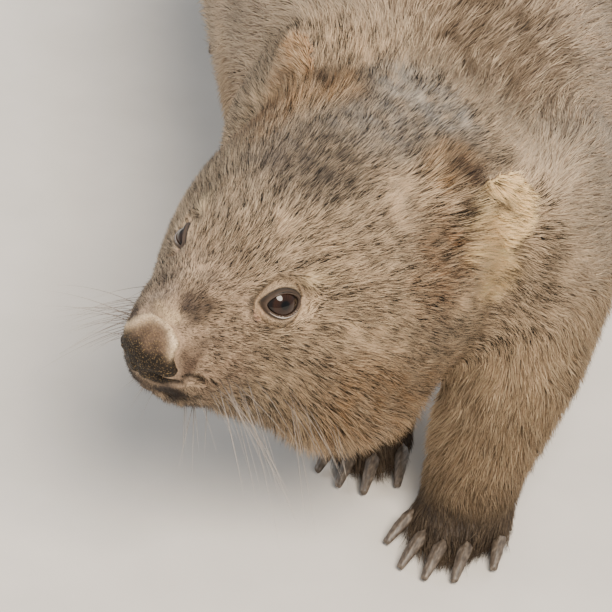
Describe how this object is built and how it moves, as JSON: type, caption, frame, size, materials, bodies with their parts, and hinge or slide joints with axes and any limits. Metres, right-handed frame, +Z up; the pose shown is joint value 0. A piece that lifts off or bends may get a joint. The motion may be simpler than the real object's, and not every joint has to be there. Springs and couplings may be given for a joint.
{
  "type": "wombat",
  "caption": "Life-size still model of a young common wombat, standing on four short legs with its head turned and raised a little, in a dense grey-brown coat.",
  "frame": {"origin": "on the floor, under the middle of the model's bounding box", "axes": "+Z up; -Y the way the chest faces; +X the animal's left"},
  "size_m": [0.308, 0.597, 0.2505],
  "materials": {
    "fur": "dense agouti coat, dark brown at the roots with tan tips, matt with a slight sheen",
    "fur_pale": "short cream hair on thin ears",
    "fur_dark": "short dark grey-brown hair on the feet",
    "nose": "bare granular skin, moist low down, dusty on top",
    "eye": "wet dark brown eye, glossy",
    "claw": "worn grey-brown horn, semi-matt"
  },
  "bodies": {
    "root": {"head": "fur", "muzzle": "fur", "lower_jaw": "fur", "neck": "fur", "chest": "fur", "belly": "fur", "rump": "fur", "tail": "fur", "foreleg_left": "fur", "foreleg_right": "fur", "hindleg_left": "fur", "hindleg_right": "fur", "forefoot_left": "fur_dark", "forefoot_right": "fur_dark", "hindfoot_left": "fur_dark", "hindfoot_right": "fur_dark", "ear_left": "fur_pale", "ear_right": "fur_pale", "eye_left": "eye", "eye_right": "eye", "nose_pad": "nose", "foreclaw_left_1": "claw", "foreclaw_left_2": "claw", "foreclaw_left_3": "claw", "foreclaw_left_4": "claw", "foreclaw_left_5": "claw", "hindclaw_left_1": "claw", "hindclaw_left_2": "claw", "hindclaw_left_3": "claw", "hindclaw_left_4": "claw", "foreclaw_right_1": "claw", "foreclaw_right_2": "claw", "foreclaw_right_3": "claw", "foreclaw_right_4": "claw", "foreclaw_right_5": "claw", "hindclaw_right_1": "claw", "hindclaw_right_2": "claw", "hindclaw_right_3": "claw", "hindclaw_right_4": "claw"}
  },
  "joints": []
}
